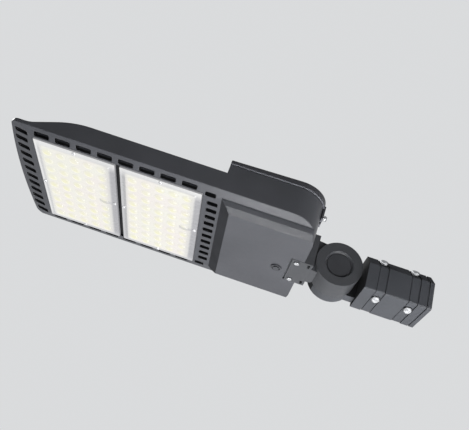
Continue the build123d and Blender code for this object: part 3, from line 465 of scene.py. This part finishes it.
def lit_optic(name, centre_x, front_grey):
    """Clear optic plate over lit emitters: an even glow with warm spots, and painted light and shade on the
    flange.
    """
    s = Shader(name)
    x, y, _ = s.axes(s.place)
    along = s.math("SUBTRACT", x, centre_x)
    over_x = s.math("SUBTRACT", s.math("ABSOLUTE", along), MODULE_LENGTH / 2 - PANEL_INSET)
    over_y = s.math("SUBTRACT", s.math("ABSOLUTE", y), MODULE_WIDTH / 2 - PANEL_INSET)
    panel = s.all_of(*[s.spread(over, 0.0, PANEL_FADE, 1.0, 0.0) for over in (over_x, over_y)])
    steep = s.below(s.math("ABSOLUTE", s.axes(s.normal())[2]), OUTER_WALL_SLANT)
    outer_wall = s.all_of(steep, s.above(s.any_of(over_x, over_y), OUTER_WALL_START))
    flange = painted_flange_light(s, along, y, outer_wall, front_grey)
    flange_body = rgb(0.090, 0.090, 0.092)
    panel_body = rgb(0.060, 0.060, 0.058)
    s.colour(s.mix(panel, flange_body, panel_body))
    s.link(s.mix(panel, flange, panel_glow(s, along, y, panel)), s.bsdf.inputs["Emission Color"])
    s.bsdf.inputs["Emission Strength"].default_value = 0.86
    s.roughness(s.grained(s.noise(scale=120.0), low=0.22, high=0.32))
    s.bsdf.inputs["IOR"].default_value = 1.35
    s.bump(s.noise(scale=500.0), strength=0.05, distance=0.0001, normal=s.bevel(0.0004))
    return s.material


def phosphor(name):
    """Resin-filled emitter with a yellow phosphor layer, lit."""
    s = Shader(name)
    grain = s.noise(scale=3000.0)
    tone = s.mix(grain, rgb(0.90, 0.74, 0.20), rgb(1.0, 0.90, 0.45))
    s.colour(tone)
    s.link(tone, s.bsdf.inputs["Emission Color"])
    s.bsdf.inputs["Emission Strength"].default_value = 0.8
    s.roughness(s.grained(grain, low=0.25, high=0.40))
    return s.material


def board_mask(name):
    """White solder mask on a metal-core board, with faint traces."""
    s = Shader(name)
    wave = s.add("ShaderNodeTexWave", bands_direction="Y")
    wave.inputs["Scale"].default_value = 12.6
    wave.inputs["Distortion"].default_value = 0.4
    s.link(s.place, wave.inputs["Vector"])
    trace_edge = (0.86, 0.90)
    trace_share = 0.5
    trace = s.spread(wave.outputs["Fac"], *trace_edge, 0.0, trace_share)
    s.colour(s.mix(trace, rgb(0.82, 0.83, 0.81), rgb(0.70, 0.72, 0.70)))
    s.roughness(s.grained(s.noise(scale=300.0), low=0.30, high=0.42))
    s.bump(trace, strength=0.2, distance=0.00005)
    return s.material


# The housing's marks are painted shade in the vents, on the bar and on the front slope
HOUSING_PAINTED_SHADE = (vent_shadow, front_slope_shade)
MATERIALS = {
    "housing_coat": coated(
        "housing_coat", (0.062, 0.064, 0.072), 0.34, soft_radius=0.0024, marks=HOUSING_PAINTED_SHADE
    ),
    "lid_coat": coated("lid_coat", (0.046, 0.047, 0.053), 0.38, marks=(lid_rim_highlight,)),
    "sink_coat": coated("sink_coat", (0.045, 0.047, 0.054), 0.50, edge_radius=0.0004),
    "arm_coat": coated("arm_coat", (0.052, 0.054, 0.059), 0.38),
    "fitter_coat": coated("fitter_coat", (0.051, 0.054, 0.061), 0.38, marks=(fitter_back_shade,)),
    "cap_plastic": moulded("cap_plastic", (0.030, 0.031, 0.035), 0.42),
    "screw_steel": bare_metal("screw_steel", (0.33, 0.335, 0.345), 0.44),
    "galvanised_sheet": bare_metal("galvanised_sheet", (0.60, 0.62, 0.64), 0.42, (0.3, 0.3, 1.0)),
    "board_white": board_mask("board_white"),
    "led_phosphor": phosphor("led_phosphor"),
    "gasket_dark": moulded("gasket_dark", (0.030, 0.030, 0.033), 0.70),
    "gasket_pale": moulded("gasket_pale", (0.48, 0.49, 0.50), 0.62),
    "driver_case": bare_metal("driver_case", (0.55, 0.56, 0.58), 0.40, (1.0, 0.1, 1.0)),
    "black_plastic": moulded("black_plastic", (0.030, 0.030, 0.034), 0.50),
    "terminal_plastic": moulded("terminal_plastic", (0.74, 0.73, 0.68), 0.45),
    "terminal_brass": bare_metal("terminal_brass", (0.80, 0.62, 0.30), 0.32),
    "surge_plastic": moulded("surge_plastic", (0.055, 0.090, 0.250), 0.28),
    "bush_rubber": moulded("bush_rubber", (0.030, 0.030, 0.030), 0.72),
    "plug_plastic": moulded("plug_plastic", (0.040, 0.042, 0.048), 0.48),
}
DULL_STEEL = bare_metal("screw_dull", (0.62, 0.62, 0.63), 0.60)
# Painted light on the front of each lens flange, paler on the front module than on the rear one
FRONT_GREYS = {"front": (0.74, 0.74, 0.74), "rear": (0.50, 0.50, 0.51)}
LIT_OPTICS = {
    which: lit_optic(f"lens_clear_{which}", x, FRONT_GREYS[which]) for which, x in MODULE_CENTRES.items()
}


def dress_solids():
    """Give every solid that stays in view its material."""
    for row in frame["record"]["subparts"]:
        slot = row["material_slot"]
        if slot == "lens_clear":
            continue
        mesh = nodes[row["node"]].data
        mesh.materials.clear()
        mesh.materials.append(MATERIALS[slot])


def make_piece(name, mesh, material, body, replaced):
    """Put a finished mesh into the scene in place of a solid."""
    data = bpy.data.meshes.new(name)
    mesh.to_mesh(data)
    mesh.free()
    data.materials.append(material)
    piece = bpy.data.objects.new(name, data)
    bpy.context.scene.collection.objects.link(piece)
    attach(piece, body)
    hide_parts(replaced)


def add_rings(mesh, rings, close_start=True):
    """Skin between rings of equal length, given as lists of points, closed at the last ring."""
    made = [[mesh.verts.new(p) for p in ring] for ring in rings]
    for a, b in zip(made, made[1:]):
        for i in range(len(a)):
            j = (i + 1) % len(a)
            mesh.faces.new((a[i], a[j], b[j], b[i]))
    if close_start:
        mesh.faces.new(list(reversed(made[0])))
    mesh.faces.new(made[-1])


def smooth_by_angle(mesh, limit_deg=35.0):
    """Shade faces smooth, with sharp edges where the surface turns quickly."""
    bmesh.ops.recalc_face_normals(mesh, faces=mesh.faces)
    for face in mesh.faces:
        face.smooth = True
    for edge in mesh.edges:
        if len(edge.link_faces) == 2:
            edge.smooth = edge.calc_face_angle() < math.radians(limit_deg)


def rounded_rectangle(half_x, half_y, corner, steps=5):
    """Corner-rounded outline about the origin, going round anticlockwise."""
    points = []
    for k, (sx, sy) in enumerate(((1, 1), (-1, 1), (-1, -1), (1, -1))):
        centre_x = sx * (half_x - corner)
        centre_y = sy * (half_y - corner)
        for i in range(steps + 1):
            a = math.radians(90 * (k + i / steps))
            points.append((centre_x + corner * math.cos(a), centre_y + corner * math.sin(a)))
    return points


def optic_plate(which):
    """Lens plate: rounded flange, raised panel and one peanut-shaped lens per emitter."""
    node = f"{which}_lens"
    low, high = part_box(node)
    centre = MODULE_CENTRES[which]
    slope_start = PANEL_INSET - PANEL_SLOPE
    profile = [
        (0.0, high.z, FLANGE_CORNER),
        (0.0, FLANGE_FACE + 0.8 * FLANGE_EDGE, FLANGE_CORNER),
        (0.3 * FLANGE_EDGE, FLANGE_FACE + 0.2 * FLANGE_EDGE, FLANGE_CORNER),
        (FLANGE_EDGE, FLANGE_FACE, FLANGE_CORNER),
        (slope_start, FLANGE_FACE, PANEL_CORNER),
        (slope_start + SLOPE_END_RUN, FLANGE_FACE - SLOPE_END_DROP, PANEL_CORNER),
        (PANEL_INSET - SLOPE_END_RUN, PANEL_FACE + SLOPE_END_DROP, PANEL_CORNER),
        (PANEL_INSET, PANEL_FACE, PANEL_CORNER),
    ]
    rings = []
    for inset, z, corner in profile:
        outline = rounded_rectangle(MODULE_LENGTH / 2 - inset, MODULE_WIDTH / 2 - inset, corner)
        rings.append([(centre + x, y, z) for x, y in outline])
    mesh = bmesh.new()
    add_rings(mesh, rings)
    for i in range(LENS_COLUMNS):
        for j in range(LENS_ROWS):
            x = centre + (i - (LENS_COLUMNS - 1) / 2) * LENS_PITCH
            y = (j - (LENS_ROWS - 1) / 2) * LENS_PITCH
            add_lens(mesh, x, y, PANEL_FACE, low.z)
    smooth_by_angle(mesh)
    make_piece(f"{which}_optic", mesh, LIT_OPTICS[which], "head", node)


def add_lens(mesh, x, y, foot, tip, segments=28, levels=6):
    """One lens: a round collar, then two lobes side by side with a dip between them."""
    height = foot - tip
    collar = COLLAR_SHARE * height
    angles = [2 * math.pi * k / segments for k in range(segments)]
    rings = []
    for radius, z in ((COLLAR_FOOT_RADIUS, foot), (COLLAR_TOP_RADIUS, foot - collar)):
        rings.append([(x + radius * math.cos(a), y + radius * math.sin(a), z) for a in angles])
    for level in range(levels):
        rise_angle = level / levels * math.pi / 2
        ring = []
        for a in angles:
            radius = LOBE_RADIUS * (1.0 - WAIST_SHARE * math.sin(a) ** 2) * math.cos(rise_angle)
            dip = 1.0 - DIP_SHARE * math.exp(-(radius * math.cos(a) / DIP_WIDTH) ** 2)
            rise = collar + (height - collar) * math.sin(rise_angle) * dip
            ring.append((x + radius * math.cos(a), y + radius * math.sin(a), foot - rise))
        rings.append(ring)
    add_rings(mesh, rings, close_start=False)


def turned(profile, segments=36):
    """Rings of a turned form from (radius, height, sides) rows, where a row with sides is a polygon."""
    rings = []
    for radius, height, sides in profile:
        ring = []
        for k in range(segments):
            a = 2 * math.pi * k / segments
            r = radius
            if sides:
                sector = 2 * math.pi / sides
                r = radius / math.cos((a % sector) - sector / 2)
            ring.append(Vector((r * math.cos(a), r * math.sin(a), height)))
        rings.append(ring)
    return rings


def facing(point, direction):
    """Transform that stands a form at a point with its z axis along a direction."""
    turn = Vector(direction).to_track_quat("Z", "Y").to_matrix().to_4x4()
    return Matrix.Translation(Vector(point)) @ turn


def hex_head(width, height, shank, length):
    """Hexagon screw with a washer face, chamfered corners and a shallow dished top."""
    half = width / 2
    washer = half * 0.96
    return [
        (shank, -length, ROUND),
        (shank, 0.0, ROUND),
        (washer, 0.0, ROUND),
        (washer, height * 0.08, ROUND),
        (half, height * 0.10, HEXAGON),
        (half, height * 0.72, HEXAGON),
        (half * 0.97, height * 0.90, ROUND),
        (half * 0.86, height, ROUND),
        (half * 0.60, height * 0.98, ROUND),
        (half * 0.45, height * 0.93, ROUND),
    ]


def socket_head(radius, height, shank, length):
    """Button-head screw with a hexagon socket."""
    return [
        (shank, -length, ROUND),
        (shank, 0.0, ROUND),
        (radius, 0.0, ROUND),
        (radius, height * 0.30, ROUND),
        (radius * 0.94, height * 0.62, ROUND),
        (radius * 0.80, height * 0.86, ROUND),
        (radius * 0.62, height, ROUND),
        (radius * 0.46, height, HEXAGON),
        (radius * 0.44, height * 0.35, HEXAGON),
    ]


def screw_group(name, node, body, profile, places, metal=MATERIALS["screw_steel"]):
    """All the screws of one solid, each at its place and facing its own way."""
    mesh = bmesh.new()
    for point, direction in places:
        place = facing(point, direction)
        add_rings(mesh, [[place @ p for p in ring] for ring in turned(profile)])
    smooth_by_angle(mesh)
    make_piece(name, mesh, metal, body, node)


def fitter_screws():
    """Clamp screws of the slip fitter: in each row one leans below and two stand on the roof's facets."""
    diagonal = math.sqrt(0.5)
    seats = [
        ((0, -math.sin(LOW_SCREW_LEAN), -math.cos(LOW_SCREW_LEAN)), LOW_SCREW_SEAT),
        ((0, -diagonal, diagonal), ROOF_SCREW_SEAT),
        ((0, diagonal, diagonal), ROOF_SCREW_SEAT),
    ]
    places = []
    for x in SET_SCREW_ROWS:
        for (nx, ny, nz), seat in seats:
            places.append(((x, ny * seat, nz * seat), (nx, ny, nz)))
    profile = hex_head(width=0.014, height=0.006, shank=0.004, length=0.0035)
    screw_group("clamp_screws", "set_screws", "fitter", profile, places)


def foot_plate_screws():
    """Two screws that hold the arm's foot plate."""
    places = [((FOOT_SCREW_X, side * FOOT_SCREW_SIDE, FOOT_FACE), (0, 0, -1)) for side in (-1, 1)]
    profile = hex_head(width=0.0096, height=0.0026, shank=0.003, length=0.013)
    screw_group("foot_plate_screws", "foot_screws", "head", profile, places)


def lid_tab_screws():
    """Two screws behind the lid's tabs."""
    places = [((LID_SCREW_SEAT, side * LID_SCREW_SIDE, LID_SCREW_HEIGHT), (1, 0, 0)) for side in (-1, 1)]
    profile = socket_head(radius=0.005, height=0.005, shank=0.0025, length=0.0182)
    screw_group("lid_tab_screws", "lid_screws", "head", profile, places)


def optic_screws():
    """One screw at the middle of each side of a lens plate."""
    reach_x = MODULE_LENGTH / 2 - LENS_SCREW_INSET
    reach_y = MODULE_WIDTH / 2 - LENS_SCREW_INSET
    places = []
    for centre in MODULE_CENTRES.values():
        for dx, dy in ((0.0, -reach_y), (0.0, reach_y), (reach_x, 0.0), (-reach_x, 0.0)):
            places.append(((centre + dx, dy, FLANGE_FACE), (0, 0, -1)))
    profile = socket_head(radius=0.0035, height=0.002, shank=0.002, length=0.010)
    screw_group("optic_screws", "lens_screws", "head", profile, places, DULL_STEEL)


def set_camera():
    """Camera at the photograph's view."""
    data = bpy.data.cameras.new("photo_camera")
    data.lens = FOCAL_PIXELS / PHOTO_WIDTH * SENSOR_MM
    data.sensor_width = SENSOR_MM
    data.sensor_fit = "HORIZONTAL"
    data.clip_start, data.clip_end = CAMERA_CLIP
    camera = bpy.data.objects.new("photo_camera", data)
    right = CAMERA_RIGHT.normalized()
    up = (-CAMERA_DOWN - right * (-CAMERA_DOWN).dot(right)).normalized()
    back = right.cross(up)
    turn = Matrix((right, up, back)).transposed()
    camera.matrix_world = Matrix.Translation(CAMERA_PLACE) @ turn.to_4x4()
    bpy.context.scene.collection.objects.link(camera)
    bpy.context.scene.camera = camera


def area_light(name, place, target, size, watts):
    """Rectangular lamp that points at a target and is not seen by the camera."""
    data = bpy.data.lights.new(name, "AREA")
    data.shape = "RECTANGLE"
    data.size, data.size_y = size
    data.energy = watts
    light = bpy.data.objects.new(name, data)
    light.location = place
    light.rotation_mode = "QUATERNION"
    light.rotation_quaternion = (Vector(target) - Vector(place)).to_track_quat("-Z", "Y")
    light.visible_camera = False
    bpy.context.scene.collection.objects.link(light)


def set_lights():
    """Four lamps from below, a weak one from the near side and one above that lights the floor."""
    middle = (-0.40, 0.0, 0.0)
    box = (-0.32, 0.0, 0.0)
    near_strip = (-0.32, -0.13, 0.0)
    fitter = (-0.10, -0.03, 0.02)
    area_light("rear_key", (0.26, -0.32, -0.68), box, size=(0.45, 0.40), watts=6.0)
    area_light("near_kicker", (-0.30, -0.72, -1.10), middle, size=(0.40, 0.22), watts=10.5)
    area_light("strip_light", (-0.14, 0.72, -1.22), near_strip, size=(0.80, 0.20), watts=14.5)
    area_light("overhead", (-1.83, 0.86, 0.95), middle, size=(1.4, 1.4), watts=58.0)
    area_light("front_fill", (-0.60, -1.90, 0.10), middle, size=(1.4, 1.2), watts=0.7)
    area_light("fitter_light", (0.22, -0.60, -0.38), fitter, size=(0.25, 0.25), watts=1.2)


BACKDROP = rgb(0.70, 0.71, 0.72)


def set_world():
    """Pale backdrop for the camera and for reflections, weaker even light for everything else."""
    world = bpy.data.worlds.new("studio")
    bpy.context.scene.world = world
    world.use_nodes = True
    world.node_tree.nodes.clear()
    sky = Nodes(world.node_tree)
    height = sky.axes(sky.add("ShaderNodeTexCoord").outputs["Generated"])[2]
    cool_white = rgb(0.92, 0.95, 1.0)
    even_light = sky.background(cool_white, sky.spread(height, *SKY_HEIGHTS, *SKY_STRENGTHS))
    blend = sky.add("ShaderNodeMixShader")
    sky.link(sky.seen_rays(), blend.inputs["Fac"])
    sky.link(even_light, blend.inputs[1])
    sky.link(sky.background(BACKDROP, strength=1.0), blend.inputs[2])
    output = sky.add("ShaderNodeOutputWorld")
    sky.link(blend.outputs[0], output.inputs["Surface"])


def set_floor():
    """Plain pale studio floor under the hanging light, which fades into the backdrop."""
    s = Shader("studio_floor")
    patches = s.grained(s.noise(scale=3.0), low=0.0, high=1.0)
    dark_patch = rgb(0.40, 0.405, 0.41)
    pale_patch = rgb(0.43, 0.435, 0.44)
    s.colour(s.mix(patches, dark_patch, pale_patch))
    s.roughness(0.8)
    s.bsdf.inputs["Emission Color"].default_value = BACKDROP
    away = s.add("ShaderNodeVectorMath", operation="LENGTH")
    s.link(s.place, away.inputs[0])
    fade = s.spread(away.outputs["Value"], *FLOOR_FADE_REACH, *FLOOR_GLOW)
    s.link(s.all_of(s.seen_rays(), fade), s.bsdf.inputs["Emission Strength"])
    mesh = bmesh.new()
    corners = ((-1, -1), (1, -1), (1, 1), (-1, 1))
    mesh.faces.new([mesh.verts.new((x * FLOOR_REACH, y * FLOOR_REACH, FLOOR_HEIGHT)) for x, y in corners])
    data = bpy.data.meshes.new("studio_floor")
    mesh.to_mesh(data)
    mesh.free()
    data.materials.append(s.material)
    floor = bpy.data.objects.new("studio_floor", data)
    bpy.context.scene.collection.objects.link(floor)


dress_solids()
for which in MODULE_CENTRES:
    optic_plate(which)
fitter_screws()
foot_plate_screws()
lid_tab_screws()
optic_screws()
set_camera()
set_lights()
set_world()
set_floor()
bpy.context.scene.view_settings.view_transform = "Standard"
